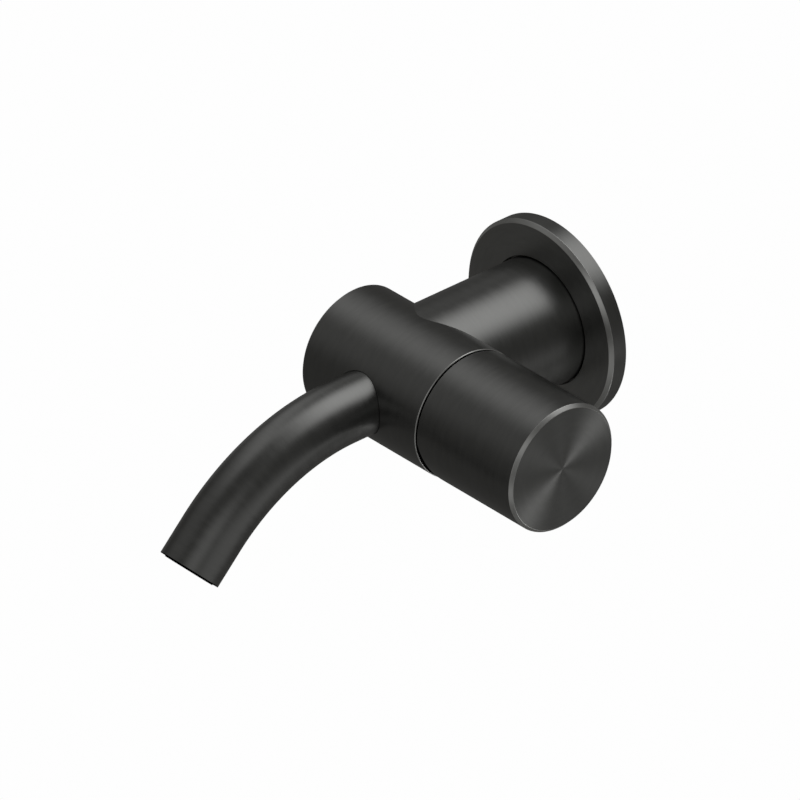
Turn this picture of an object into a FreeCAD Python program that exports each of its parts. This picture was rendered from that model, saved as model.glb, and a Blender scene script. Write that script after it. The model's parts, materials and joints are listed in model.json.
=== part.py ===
import FreeCAD, Part
import math
import os

os.makedirs("parts", exist_ok=True)

# Wall-mounted basin mixer tap with a round knob on the side of its body. Millimetres.
# +X points along the body to the knob, -Y points out of the wall and +Z is up.
# The origin is on the wall, on the axis of the neck, at the back of the mounting plate.
# A distance called "out" is measured from the wall, so it is -Y.

# Body: a solid bar whose axis lies level and parallel to the wall
body_radius = 22.5
body_out = 63.0
body_left = 27.5
body_right = 27.8
body_end_chamfer = 1.0
mouth_chamfer = 0.3

# Neck: a tube from the mounting plate to the back of the body, brazed to it
neck_step = 0.5
neck_wall = 2.5

# Rosette: a hollow disc that covers the mounting plate
rosette_radius = 35.0
rosette_depth = 6.6
rosette_front = 1.5
rosette_wall = 1.7
rosette_chamfer = 1.2
rosette_hole_gap = 0.35
rosette_hole_chamfer = 0.3

# Knob: a turned cup that carries on the line of the body
knob_step = 0.2
knob_length = 44.4
knob_gap = 0.6
knob_wall = 3.0
knob_end_thickness = 4.0
knob_chamfer = 1.05
knob_tilt = 15.0
knob_stop_gap = 0.25

# Spout: a bent tube that stands in a socket in the front of the body
spout_radius = 10.75
spout_wall = 2.5
spout_straight = 29.5
spout_bend_radius = 78.0
spout_bend_angle = 45.0
spout_end_length = 13.5
spout_entry_gap = 0.3

# Mounting plate, with the collar that the neck slides over
plate_thickness = 4.0
collar_wall = 2.85
collar_length = 12.0
wall_screw_radius = 2.2
wall_screw_count = 4
wall_screw_sink = 1.6
gasket_width = 3.5
gasket_thickness = 1.0
gasket_land = 3.4
rosette_ring_section = 1.3
plate_gap = 2.3

# Inlet manifold: turned brass with one threaded inlet for hot and one for cold
manifold_recess = 2.0
manifold_flange = 8.4
manifold_tail = 16.0
manifold_waist = 2.5
manifold_rim = 0.7
inlet_thread_radius = 4.46
inlet_thread_length = 12.0
inlet_spacing = 11.2
cold_inlet_x = 2.2
inlet_channel_radius = 2.3
strainer_radius = 3.55
strainer_thickness = 1.2
strainer_hole_radius = 0.55
strainer_pitch = 1.7
face_ring_section = 0.7
face_ring_radius = 3.6
manifold_screw_angles = (106, 226, 280)

# Screws: plain cores, with their real sockets
cap_screw_radius = 2.0
cap_screw_head_radius = 3.5
cap_screw_head_height = 4.0
cap_screw_grip = 8.0
cap_screw_key = 3.0
driver_clearance = 0.1
grub_radius = 2.0
grub_key = 2.0
neck_grub_out = 11.0
neck_grub_angle = 35.0
neck_grub_bite = 1.4
grub_inset = 0.7
spout_grub_radius = 1.5
spout_grub_key = 1.5
spout_grub_step = 2.2
spout_grub_length = 2.821004
socket_depth = 1.4

# Cartridge: a joystick cartridge with two ceramic discs, clamped in the bore of the body
cartridge_radius = 12.45
cartridge_wall = 1.65
base_thickness = 2.2
fixed_disc_thickness = 2.3
moving_disc_thickness = 2.3
moving_disc_radius = 8.4
mixing_pocket_depth = 1.3
mixing_pocket_wall = 1.0
mixing_pocket_lap = 0.3
driver_thickness = 4.8
yoke_flange = 1.0
yoke_floor = 2.5
shoulder_wall = 1.4
nut_height = 3.0
dome_skirt = 3.0
stem_radius = 11.0
stem_wall = 2.0
stem_rise = 2.2
yoke_rise = 3.2
inlet_port_radius = 1.7
outlet_port_radius = 1.9
inlet_port_out = 3.2
inlet_port_up = 3.6
outlet_port_down = 3.0
port_seal_section = 0.5
port_seal_gap = 0.2
peg_radius = 1.2
peg_length = 2.0
peg_height = 10.0
thread_wall = 2.4
nut_thread = 1.2
nut_slots = 6

# Lever: tilts on a pin in the yoke, and drives the moving disc with its ball
pin_radius = 1.5
ball_radius = 2.2
ball_neck_room = 1.65
lever_neck_radius = 1.5
socket_flare = 1.0
socket_flare_depth = 2.0
lever_rod_radius = 4.0
lever_boss_width = 6.0
lever_boss_height = 8.4
lever_boss_below = 4.5
lever_boss_above = 5.5
tongue_width = 1.2
tongue_depth = 1.4
tongue_length = 9.0
tongue_offset = 5.6

# Dome that closes the mouth behind the knob, and the hub inside the knob
dome_wall = 1.2
dome_gap = 0.5
dome_mouth_gap = 0.6
hub_length = 14.0
hub_gap = 0.9
hub_grub_inset = 5.26
plug_inset = 0.3

# Spout end fittings
spigot_radius = 5.8
spigot_length = 4.8
spigot_ring_section = 0.74
spigot_ring_groove = 1.4
connector_length = 10.0
connector_bore = 3.0
connector_lip = 1.0
aerator_step = 0.6
aerator_depth = 9.0
aerator_proud = 0.3
aerator_wall = 1.3
aerator_ledge = 1.6
aerator_ledge_thickness = 1.0
aerator_recess = 1.0
aerator_notches = 6
aerator_notch_width = 1.95
insert_thickness = 3.0
insert_hole_radius = 0.75
insert_pitch = 1.95
washer_thickness = 1.2
washer_width = 1.6

# Clearances
thread_fit = 0.05
slide_fit = 0.1
bore_fit = 0.15
running_fit = 0.07
pin_fit = 0.05
seat_play = 0.2
water_film = 0.05
ring_room = 0.02
seat_wall = 1.8
spout_floor_wall = 1.4
spigot_floor = 0.2
drill_past = 0.6

# Worked-out sizes of the neck, rosette and plate
neck_radius = body_radius - neck_step
neck_bore = neck_radius - neck_wall
collar_radius = neck_bore - thread_fit
collar_bore = collar_radius - collar_wall
rosette_bore = rosette_radius - rosette_wall
rosette_hole = neck_radius + rosette_hole_gap
plate_radius = rosette_bore - plate_gap
wall_screw_circle = (neck_radius + plate_radius) / 2

# Worked-out places along the cartridge, from its seat to the mouth of the body
stack = (base_thickness + fixed_disc_thickness + water_film + moving_disc_thickness
         + driver_thickness + seat_play + yoke_flange + seat_play + shoulder_wall
         + slide_fit + nut_height + seat_play + dome_skirt)
mouth_x = body_right
seat_x = mouth_x - stack
base_top = seat_x + base_thickness
fixed_top = base_top + fixed_disc_thickness
moving_bottom = fixed_top + water_film
moving_top = moving_bottom + moving_disc_thickness
driver_top = moving_top + driver_thickness
flange_bottom = driver_top + seat_play
flange_top = flange_bottom + yoke_flange
cavity_top = flange_top + seat_play
shoulder_x = cavity_top + shoulder_wall
nut_bottom = shoulder_x + slide_fit
nut_top = nut_bottom + nut_height
skirt_bottom = nut_top + seat_play
pivot_x = mouth_x
stem_top = pivot_x + stem_rise
yoke_top = pivot_x + yoke_rise
slot_bottom = flange_bottom + yoke_floor

# Worked-out radii of the cartridge and its bore
cartridge_bore = cartridge_radius + bore_fit
cavity_radius = cartridge_radius - cartridge_wall
stem_bore = stem_radius - stem_wall
yoke_radius = stem_bore - running_fit
thread_radius = cartridge_bore + thread_wall
ball_x = moving_top + ball_radius + bore_fit
lever_arm = pivot_x - ball_x
disc_travel = lever_arm * math.sin(math.radians(knob_tilt))
disc_rest = -disc_travel / 2
slot_width = lever_boss_width + 2 * slide_fit

# Worked-out sizes of the manifold, its seat and the water ways
manifold_radius = collar_bore - slide_fit
manifold_seat_out = body_out - cartridge_bore - seat_wall
manifold_head_radius = cap_screw_head_radius + driver_clearance
manifold_screw_circle = manifold_radius - manifold_head_radius - manifold_rim
hot_inlet_x = cold_inlet_x - inlet_spacing
inlet_height = inlet_port_up
cold_port_out = body_out - inlet_port_out
hot_port_out = body_out + inlet_port_out

# Worked-out sizes of the knob
knob_radius = body_radius - knob_step
knob_bore = knob_radius - knob_wall
knob_start = mouth_x + knob_gap
knob_end = knob_start + knob_length
dome_radius = knob_bore - dome_gap
hub_start = pivot_x + dome_radius + hub_gap
hub_end = hub_start + hub_length
hub_middle = (hub_start + hub_end) / 2

# Worked-out places along the spout
spout_bore = spout_radius - spout_wall
socket_radius = spout_radius + spout_entry_gap
socket_out = body_out + cartridge_bore + spout_floor_wall
bend_out = body_out + spout_straight
bend = math.radians(spout_bend_angle)
outlet_way = FreeCAD.Vector(0, -math.cos(bend), -math.sin(bend))
bend_end = FreeCAD.Vector(
    0,
    -bend_out - spout_bend_radius * math.sin(bend),
    -spout_bend_radius * (1 - math.cos(bend)),
)
outlet = bend_end + outlet_way * spout_end_length
aerator_radius = spout_bore + aerator_step
aerator_bore = aerator_radius - aerator_wall

ACROSS = FreeCAD.Vector(1, 0, 0)
OUT = FreeCAD.Vector(0, -1, 0)
UP = FreeCAD.Vector(0, 0, 1)
ALL_THROUGH = 4 * rosette_radius


def point(x, out, z):
    """A place given as along the body, out from the wall, and up."""
    return FreeCAD.Vector(x, -out, z)


def along_x(radius, start, end, out=body_out, z=0.0):
    return Part.makeCylinder(radius, end - start, point(start, out, z), ACROSS)


def along_y(radius, start, end, x=0.0, z=0.0):
    return Part.makeCylinder(radius, end - start, point(x, start, z), OUT)


def along_outlet(radius, start, end, across=0.0, rise=0.0):
    """A round bar on the spout's outlet, with start and end measured past its rim."""
    sideways = outlet_way.cross(ACROSS)
    base = outlet + outlet_way * start + ACROSS * across + sideways * rise
    return Part.makeCylinder(radius, end - start, base, outlet_way)


def turned(outline, centre, axis, radial):
    """A turned solid from a closed outline of (place along the axis, radius) points."""
    corners = [centre + axis * place + radial * radius for place, radius in outline]
    face = Part.Face(Part.makePolygon(corners + corners[:1]))
    return face.revolve(centre, axis, 360)


def turned_x(outline):
    return turned(outline, point(0, body_out, 0), ACROSS, UP)


def turned_y(outline):
    return turned(outline, point(0, 0, 0), OUT, UP)


def block(low, high):
    """A box between two corners, each given as x, out and z."""
    size = [high[0] - low[0], high[1] - low[1], high[2] - low[2]]
    return Part.makeBox(*size, FreeCAD.Vector(low[0], -high[1], low[2]))


def hexagon(across_flats, depth, mouth, inward):
    """A hexagon socket that goes from its mouth inward."""
    side = inward.cross(ACROSS if abs(inward.x) < 0.5 else UP).normalize()
    other = inward.cross(side)
    reach = across_flats / math.sqrt(3)
    corners = []
    for turn in range(6):
        angle = math.radians(60 * turn)
        corners.append(mouth + side * (reach * math.cos(angle)) + other * (reach * math.sin(angle)))
    face = Part.Face(Part.makePolygon(corners + corners[:1]))
    return face.extrude(inward * depth)


def grub_screw(radius, length, key, head, inward):
    """A headless screw that goes inward from the place of its socket."""
    core = Part.makeCylinder(radius, length, head, inward)
    return core.cut(hexagon(key, socket_depth, head, inward))


def cut_all(shape, tools):
    return shape.cut(Part.makeCompound(tools))


def hexagon_pattern(pitch, limit):
    """The centres of holes packed like a honeycomb, as far from the middle as the limit."""
    rows = int(limit / pitch) + 1
    centres = []
    for row in range(-rows, rows + 1):
        for column in range(-2 * rows, 2 * rows + 1):
            across = pitch * (column + 0.5 * (row % 2))
            rise = pitch * row * math.sqrt(3) / 2
            if math.hypot(across, rise) < limit:
                centres.append((across, rise))
    return centres


def from_axis(angle, radius, out):
    """A place round the neck's axis, with the angle from +X towards +Z."""
    turn = math.radians(angle)
    return point(radius * math.cos(turn), out, radius * math.sin(turn))


def make_mounting_plate():
    collar_end = plate_thickness + collar_length
    middle = plate_thickness / 2
    groove = rosette_bore - 2 * rosette_ring_section - ring_room
    half = rosette_ring_section + ring_room
    plate = turned_y([
        (0, collar_bore), (0, plate_radius), (middle - half, plate_radius),
        (middle - half, groove), (middle + half, groove), (middle + half, plate_radius),
        (plate_thickness, plate_radius), (plate_thickness, collar_radius),
        (collar_end, collar_radius), (collar_end, collar_bore),
    ])
    gasket_bore = collar_bore + gasket_land
    recess = along_y(gasket_bore + gasket_width, 0, gasket_thickness)
    cuts = [recess.cut(along_y(gasket_bore, 0, gasket_thickness))]
    for number in range(wall_screw_count):
        centre = from_axis(360 * (number + 0.5) / wall_screw_count, wall_screw_circle, 0)
        cuts.append(Part.makeCylinder(wall_screw_radius, plate_thickness, centre, OUT))
        sink_start = centre + OUT * (plate_thickness - wall_screw_sink)
        sunk = wall_screw_radius + wall_screw_sink
        cuts.append(Part.makeCone(wall_screw_radius, sunk, wall_screw_sink, sink_start, OUT))
    for angle in neck_grub_angles:
        start = from_axis(angle, collar_radius - neck_grub_bite - ring_room, neck_grub_out)
        away = from_axis(angle, 1, 0)
        cuts.append(Part.makeCylinder(grub_radius + thread_fit, 2 * neck_wall, start, away))
    return cut_all(plate, cuts)


def make_wall_gasket():
    inner = collar_bore + gasket_land + ring_room
    outer = collar_bore + gasket_land + gasket_width - ring_room
    return along_y(outer, 0, gasket_thickness).cut(along_y(inner, 0, gasket_thickness))


def make_rosette():
    inside = rosette_depth - rosette_front
    return turned_y([
        (0, rosette_bore), (0, rosette_radius), (rosette_depth - rosette_chamfer, rosette_radius),
        (rosette_depth, rosette_radius - rosette_chamfer),
        (rosette_depth, rosette_hole + rosette_hole_chamfer),
        (rosette_depth - rosette_hole_chamfer, rosette_hole),
        (inside, rosette_hole), (inside, rosette_bore),
    ])


def make_rosette_o_ring():
    middle = rosette_bore - rosette_ring_section - ring_room
    return Part.makeTorus(middle, rosette_ring_section - ring_room, point(0, plate_thickness / 2, 0), OUT)


def make_neck_tube():
    tube = along_y(neck_radius, plate_thickness, body_out).cut(
        along_y(neck_bore, plate_thickness, body_out))
    cuts = [along_x(body_radius, -ALL_THROUGH, ALL_THROUGH)]
    for angle in neck_grub_angles:
        start = from_axis(angle, neck_bore - neck_wall, neck_grub_out)
        away = from_axis(angle, 1, 0)
        cuts.append(Part.makeCylinder(grub_radius + thread_fit, 3 * neck_wall, start, away))
    return cut_all(tube, cuts)


def make_neck_grub_screws():
    screws = []
    for angle in neck_grub_angles:
        head = from_axis(angle, neck_radius - grub_inset, neck_grub_out)
        tip = from_axis(angle, collar_radius - neck_grub_bite, neck_grub_out)
        length = (head - tip).Length
        screws.append(grub_screw(grub_radius, length, grub_key, head, (tip - head).normalize()))
    return Part.makeCompound(screws)


def inlet_places():
    """The x places of the hot and the cold inlet, which share one height."""
    return (hot_inlet_x, cold_inlet_x)


def manifold_screw_places():
    return [from_axis(angle, manifold_screw_circle, 0) for angle in manifold_screw_angles]


def make_supply_manifold():
    flange_out = manifold_seat_out - manifold_flange
    waist = manifold_radius - manifold_waist
    shape = turned_y([
        (manifold_recess, 0), (manifold_recess, manifold_radius),
        (manifold_tail, manifold_radius), (manifold_tail + manifold_waist, waist),
        (flange_out - manifold_waist, waist), (flange_out, manifold_radius),
        (manifold_seat_out, manifold_radius), (manifold_seat_out, 0),
    ])
    thread_end = manifold_recess + inlet_thread_length
    strainer_end = thread_end + strainer_thickness + ring_room
    cuts = []
    for x in inlet_places():
        cuts.append(along_y(inlet_thread_radius, manifold_recess, thread_end, x, inlet_height))
        cuts.append(along_y(strainer_radius + thread_fit, thread_end, strainer_end, x, inlet_height))
        cuts.append(along_y(inlet_channel_radius, strainer_end, manifold_seat_out, x, inlet_height))
        groove_start = manifold_seat_out - 2 * face_ring_section
        groove = along_y(face_ring_radius + face_ring_section + ring_room, groove_start,
                         manifold_seat_out, x, inlet_height)
        cuts.append(groove.cut(along_y(face_ring_radius - face_ring_section - ring_room,
                                       groove_start, manifold_seat_out, x, inlet_height)))
    seat = manifold_seat_out - cap_screw_grip
    for place in manifold_screw_places():
        hole = along_y(cap_screw_radius + slide_fit, seat, manifold_seat_out, place.x, place.z)
        cuts.append(hole)
        cuts.append(along_y(manifold_head_radius, manifold_recess, seat, place.x, place.z))
    return cut_all(shape, cuts)


def make_inlet_strainers():
    start = manifold_recess + inlet_thread_length
    discs = []
    for x in inlet_places():
        disc = along_y(strainer_radius, start, start + strainer_thickness, x, inlet_height)
        holes = []
        for across, rise in hexagon_pattern(strainer_pitch, strainer_radius - strainer_pitch / 2):
            holes.append(along_y(strainer_hole_radius, start, start + strainer_thickness,
                                 x + across, inlet_height + rise))
        discs.append(cut_all(disc, holes))
    return Part.makeCompound(discs)


def make_manifold_o_rings():
    middle = manifold_seat_out - face_ring_section
    rings = []
    for x in inlet_places():
        rings.append(Part.makeTorus(face_ring_radius, face_ring_section - ring_room,
                                    point(x, middle, inlet_height), OUT))
    return Part.makeCompound(rings)


def make_manifold_screws():
    seat = manifold_seat_out - cap_screw_grip
    head_out = seat - cap_screw_head_height
    screws = []
    for place in manifold_screw_places():
        head = along_y(cap_screw_head_radius, head_out, seat, place.x, place.z)
        shank = along_y(cap_screw_radius, seat, manifold_seat_out + cap_screw_grip, place.x, place.z)
        mouth = point(place.x, head_out, place.z)
        socket = hexagon(cap_screw_key, cap_screw_head_height / 2, mouth, OUT)
        screws.append(head.fuse(shank).cut(socket))
    return Part.makeCompound(screws)


def body_water_ways():
    """The drillings from the manifold to the cartridge seat, and from there to the spout."""
    ways = []
    for x, out in ((cold_inlet_x, cold_port_out), (hot_inlet_x, hot_port_out)):
        deep = out + inlet_port_radius + drill_past
        ways.append(along_y(inlet_channel_radius, manifold_seat_out, deep, x, inlet_height))
        ways.append(along_x(inlet_port_radius, x, seat_x, out, inlet_height))
    deep = -outlet_port_radius - drill_past
    ways.append(along_x(outlet_port_radius, deep, seat_x, body_out, -outlet_port_down))
    ways.append(along_y(outlet_port_radius, body_out, socket_out, 0, -outlet_port_down))
    return ways


def make_mixer_body():
    body = turned_x([
        (-body_left, 0), (-body_left, body_radius - body_end_chamfer),
        (body_end_chamfer - body_left, body_radius), (mouth_x - mouth_chamfer, body_radius),
        (mouth_x, body_radius - mouth_chamfer), (mouth_x, 0),
    ])
    thread_bottom = shoulder_x - shoulder_wall
    cuts = body_water_ways()
    cuts.append(along_x(cartridge_bore, seat_x, mouth_x))
    cuts.append(along_x(thread_radius, thread_bottom, mouth_x))
    cuts.append(along_y(manifold_radius + slide_fit, 0, manifold_seat_out))
    for place in manifold_screw_places():
        cuts.append(along_y(cap_screw_radius + thread_fit, manifold_seat_out,
                            manifold_seat_out + cap_screw_grip + seat_play, place.x, place.z))
    for side in (-1, 1):
        cuts.append(along_x(peg_radius + slide_fit, seat_x - peg_length - seat_play, seat_x,
                            body_out, side * peg_height))
    cuts.append(along_y(socket_radius, socket_out, body_out + body_radius))
    spigot_out = socket_out - spigot_length - spigot_floor
    cuts.append(along_y(spigot_radius + slide_fit, spigot_out, socket_out))
    grub_start = point(0, socket_out + spout_grub_step, -spout_radius)
    cuts.append(Part.makeCylinder(spout_grub_radius + thread_fit, body_radius, grub_start, -UP))
    return cut_all(body, cuts)


def spout_section(outer, inner):
    """A ring-shaped face across the spout where its bend starts."""
    rims = []
    for radius in (outer, inner):
        rims.append(Part.Wire(Part.makeCircle(radius, point(0, bend_out, 0), OUT)))
    return Part.Face(rims[0]).cut(Part.Face(rims[1]))


def make_spout_tube():
    section = spout_section(spout_radius, spout_bore)
    inlet = section.extrude(-OUT * (bend_out - socket_out))
    centre = point(0, bend_out, -spout_bend_radius)
    curve = section.revolve(centre, ACROSS, spout_bend_angle)
    end = along_outlet(spout_radius, -spout_end_length, 0).cut(
        along_outlet(spout_bore, -spout_end_length, 0))
    tube = inlet.fuse([curve, end]).removeSplitter()
    seat = aerator_depth + washer_thickness
    return tube.cut(along_outlet(aerator_radius + thread_fit, -seat, 0))


def make_spout_connector():
    tip = socket_out - spigot_length
    ring = spigot_ring_section + ring_room
    ring_out = socket_out - spigot_length / 2
    groove = spigot_radius - spigot_ring_groove
    bush = spout_bore - ring_room
    end = socket_out + connector_length
    return turned_y([
        (tip, connector_bore), (tip, spigot_radius), (ring_out - ring, spigot_radius),
        (ring_out - ring, groove), (ring_out + ring, groove), (ring_out + ring, spigot_radius),
        (socket_out, spigot_radius), (socket_out, bush), (end, bush),
        (end, bush - connector_lip), (socket_out + spigot_length, connector_bore),
    ])


def make_spout_o_ring():
    outer = spigot_radius + slide_fit
    middle = outer - spigot_ring_section
    ring_out = socket_out - spigot_length / 2
    return Part.makeTorus(middle, spigot_ring_section - ring_room, point(0, ring_out, 0), OUT)


def make_spout_grub_screw():
    """It stands on the spout and is just short enough to keep its head inside the round bar."""
    tip = spout_radius + ring_room
    head = point(0, socket_out + spout_grub_step, -tip - spout_grub_length)
    return grub_screw(spout_grub_radius, spout_grub_length, spout_grub_key, head, UP)


def make_aerator_housing():
    inner_end = -aerator_depth
    ring = along_outlet(aerator_radius, inner_end, aerator_proud)
    ledge_end = inner_end + aerator_ledge_thickness
    cuts = [along_outlet(aerator_bore, ledge_end, aerator_proud),
            along_outlet(aerator_bore - aerator_ledge, inner_end, ledge_end)]
    away = aerator_radius - aerator_wall
    for number in range(aerator_notches):
        turn = 2 * math.pi * number / aerator_notches
        cuts.append(along_outlet(aerator_notch_width / 2, aerator_proud - aerator_recess / 2, aerator_proud,
                                 away * math.cos(turn), away * math.sin(turn)))
    return cut_all(ring, cuts)


def make_aerator_insert():
    top = aerator_proud - aerator_recess
    bottom = top - insert_thickness
    radius = aerator_bore - ring_room
    disc = along_outlet(radius, bottom, top)
    stem = along_outlet(radius - aerator_ledge, aerator_ledge_thickness - aerator_depth + ring_room, bottom)
    holes = []
    for across, rise in hexagon_pattern(insert_pitch, radius - 2 * insert_hole_radius):
        holes.append(along_outlet(insert_hole_radius, bottom, top, across, rise))
    core = along_outlet(radius - aerator_ledge - aerator_wall,
                        aerator_ledge_thickness - aerator_depth, bottom)
    return cut_all(disc, holes).fuse(stem.cut(core))


def make_aerator_washer():
    start = -aerator_depth - washer_thickness + ring_room
    outer = along_outlet(aerator_radius, start, -aerator_depth - ring_room)
    return outer.cut(along_outlet(aerator_radius - washer_width, start, -aerator_depth))


def cartridge_ports():
    """The three water ports as (radius, out, height), shared by all that they pass."""
    return [(inlet_port_radius, cold_port_out, inlet_port_up),
            (inlet_port_radius, hot_port_out, inlet_port_up),
            (outlet_port_radius, body_out, -outlet_port_down)]


def seal_radius(port_radius):
    return port_radius + port_seal_gap + port_seal_section


def make_cartridge_base():
    base = along_x(cartridge_radius, seat_x, base_top)
    pegs = []
    for side in (-1, 1):
        pegs.append(along_x(peg_radius, seat_x - peg_length, seat_x, body_out, side * peg_height))
    cuts = []
    for radius, out, height in cartridge_ports():
        cuts.append(along_x(radius, seat_x, base_top, out, height))
        pocket = seal_radius(radius) + port_seal_section + ring_room
        cuts.append(along_x(pocket, seat_x, seat_x + 2 * port_seal_section, out, height))
    return cut_all(base.fuse(pegs), cuts)


def make_cartridge_seals():
    rings = []
    for radius, out, height in cartridge_ports():
        centre = point(seat_x + port_seal_section, out, height)
        rings.append(Part.makeTorus(seal_radius(radius), port_seal_section - ring_room, centre, ACROSS))
    return Part.makeCompound(rings)


def make_fixed_ceramic_disc():
    disc = along_x(cavity_radius - slide_fit, base_top, fixed_top)
    return cut_all(disc, [along_x(radius, base_top, fixed_top, out, height)
                          for radius, out, height in cartridge_ports()])


def make_moving_ceramic_disc():
    disc = along_x(moving_disc_radius, moving_bottom, moving_top, body_out, disc_rest)
    pocket_top = inlet_port_up - inlet_port_radius + disc_travel / 2 + disc_rest - mixing_pocket_lap
    half = inlet_port_out + inlet_port_radius + mixing_pocket_lap
    room = along_x(moving_disc_radius - mixing_pocket_wall, moving_bottom,
                   moving_bottom + mixing_pocket_depth, body_out, disc_rest)
    limit = block((moving_bottom, body_out - half, -moving_disc_radius + disc_rest),
                  (moving_bottom + mixing_pocket_depth, body_out + half, pocket_top))
    return disc.cut(room.common(limit))


def tongue_places():
    """The two sides of the guide between the yoke and the disc driver."""
    return [(body_out + side * (tongue_offset + tongue_width / 2)) for side in (-1, 1)]


def make_disc_driver():
    driver = along_x(moving_disc_radius, moving_top, driver_top, body_out, disc_rest)
    socket = ball_radius + slide_fit
    flare = Part.makeCone(socket, socket + socket_flare, socket_flare_depth,
                          point(driver_top - socket_flare_depth, body_out, 0), ACROSS)
    cuts = [along_x(socket, moving_top, driver_top), flare]
    half = tongue_width / 2 + slide_fit
    for out in tongue_places():
        cuts.append(block((flange_bottom - tongue_depth - slide_fit, out - half, -cartridge_radius),
                          (driver_top, out + half, cartridge_radius)))
    return cut_all(driver, cuts)


def make_cartridge_housing():
    return turned_x([
        (base_top, cavity_radius), (base_top, cartridge_radius),
        (shoulder_x, cartridge_radius), (shoulder_x, stem_radius), (stem_top, stem_radius),
        (stem_top, stem_bore), (cavity_top, stem_bore), (cavity_top, cavity_radius),
    ])


def make_cartridge_nut():
    bore = stem_radius + slide_fit
    nut = turned_x([
        (nut_bottom, bore), (nut_bottom, thread_radius - thread_fit),
        (nut_top, thread_radius - thread_fit), (nut_top, bore),
    ])
    notches = []
    width = (thread_radius - bore) / 2
    for number in range(nut_slots):
        turn = 2 * math.pi * number / nut_slots
        notches.append(along_x(width, nut_top - nut_height / 3, nut_top,
                               body_out + bore * math.cos(turn), bore * math.sin(turn)))
    return cut_all(nut, notches)


def make_dome_cover():
    middle = point(pivot_x, body_out, 0)
    outer = Part.makeSphere(dome_radius, middle)
    inner = Part.makeSphere(dome_radius - dome_wall, middle)
    shell = outer.cut(inner).common(along_x(dome_radius, mouth_x, mouth_x + dome_radius))
    floor = along_x(dome_radius, mouth_x, mouth_x + dome_wall).common(outer)
    skirt = along_x(thread_radius - thread_fit, skirt_bottom, mouth_x + dome_wall / 2).cut(
        along_x(thread_radius - nut_thread, skirt_bottom, mouth_x + dome_wall))
    swing = math.radians(knob_tilt) + math.asin(lever_rod_radius / (dome_radius - dome_wall))
    opening = dome_radius * math.sin(swing) + dome_mouth_gap
    dome = shell.fuse([floor, skirt]).removeSplitter()
    return cut_all(dome, [along_x(opening, mouth_x + 2 * dome_wall, mouth_x + dome_radius),
                          along_x(stem_radius + seat_play, skirt_bottom, mouth_x + 2 * dome_wall)])


def make_lever_yoke():
    yoke = turned_x([
        (flange_bottom, 0), (flange_bottom, cavity_radius - 2 * seat_play),
        (flange_top, cavity_radius - 2 * seat_play), (flange_top, yoke_radius),
        (yoke_top, yoke_radius), (yoke_top, 0),
    ])
    tongues = []
    for out in tongue_places():
        tongues.append(block((flange_bottom - tongue_depth, out - tongue_width / 2, -tongue_length / 2),
                             (flange_bottom, out + tongue_width / 2, tongue_length / 2)))
    neck_reach = disc_travel + ball_neck_room
    half = slot_width / 2
    cuts = [along_x(neck_reach, flange_bottom, slot_bottom),
            block((slot_bottom, body_out - half, -cartridge_radius),
                  (yoke_top, body_out + half, cartridge_radius)),
            along_y(pin_radius + pin_fit, body_out - cartridge_radius, body_out + cartridge_radius, pivot_x)]
    return cut_all(yoke.fuse(tongues), cuts)


def make_lever_pin():
    half = yoke_radius - 3 * slide_fit
    return along_y(pin_radius, body_out - half, body_out + half, pivot_x)


def turned_ball():
    """The ball at the lever's inner end with its neck, turned as one piece."""
    half_neck = math.asin(lever_neck_radius / ball_radius)
    neck_start = ball_x + ball_radius * math.cos(half_neck)
    tip = point(ball_x - ball_radius, body_out, 0)
    top = point(ball_x, body_out, ball_radius)
    join = point(neck_start, body_out, lever_neck_radius)
    neck_end = point(pivot_x, body_out, lever_neck_radius)
    middle = point(pivot_x, body_out, 0)
    edges = [Part.Arc(tip, top, join).toShape(), Part.LineSegment(join, neck_end).toShape(),
             Part.LineSegment(neck_end, middle).toShape(), Part.LineSegment(middle, tip).toShape()]
    return Part.Face(Part.Wire(edges)).revolve(tip, ACROSS, 360)


def make_control_lever():
    half_width = lever_boss_width / 2
    half_height = lever_boss_height / 2
    ball_and_neck = turned_ball()
    boss = block((pivot_x - lever_boss_below, body_out - half_width, -half_height),
                 (pivot_x + lever_boss_above, body_out + half_width, half_height))
    rod = along_x(lever_rod_radius, pivot_x + lever_boss_above, hub_end - seat_play)
    lever = boss.fuse([ball_and_neck, rod])
    return lever.cut(along_y(pin_radius + pin_fit, body_out - half_width, body_out + half_width, pivot_x))


def make_knob_hub():
    bore = lever_rod_radius + ring_room
    hub = turned_x([
        (hub_start, bore), (hub_start, knob_bore - knob_chamfer - ring_room),
        (hub_start + knob_chamfer, knob_bore - ring_room), (hub_end, knob_bore - ring_room),
        (hub_end, bore),
    ])
    start = point(hub_middle, body_out, 0)
    return hub.cut(Part.makeCylinder(grub_radius + thread_fit, knob_bore, start, -UP))


def relief_tool():
    """The room that the rim of the knob needs: the mouth's plane, as the tilted knob meets it."""
    half = 2 * body_radius
    room = block((mouth_x - half, body_out - half, -half), (mouth_x + knob_stop_gap, body_out + half, half))
    room.rotate(point(pivot_x, body_out, 0), FreeCAD.Vector(0, 1, 0), -knob_tilt)
    return room


def make_knob_shell():
    inner_end = knob_end - knob_end_thickness
    cup = turned_x([
        (knob_start, knob_bore), (knob_start, knob_radius - mouth_chamfer),
        (knob_start + mouth_chamfer, knob_radius), (knob_end - knob_chamfer, knob_radius),
        (knob_end, knob_radius - knob_chamfer), (knob_end, 0), (inner_end, 0),
        (inner_end, knob_bore),
    ])
    plug_hole = Part.makeCylinder(grub_radius + slide_fit + thread_fit, 2 * knob_wall,
                                  point(hub_middle, body_out, drill_past - knob_bore), -UP)
    return cut_all(cup, [relief_tool(), plug_hole])


def make_knob_grub_screw():
    hub_radius = knob_bore - ring_room
    head = point(hub_middle, body_out, hub_grub_inset - hub_radius)
    length = hub_radius - hub_grub_inset - lever_rod_radius - ring_room
    return grub_screw(grub_radius, length, grub_key, head, UP)


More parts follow.
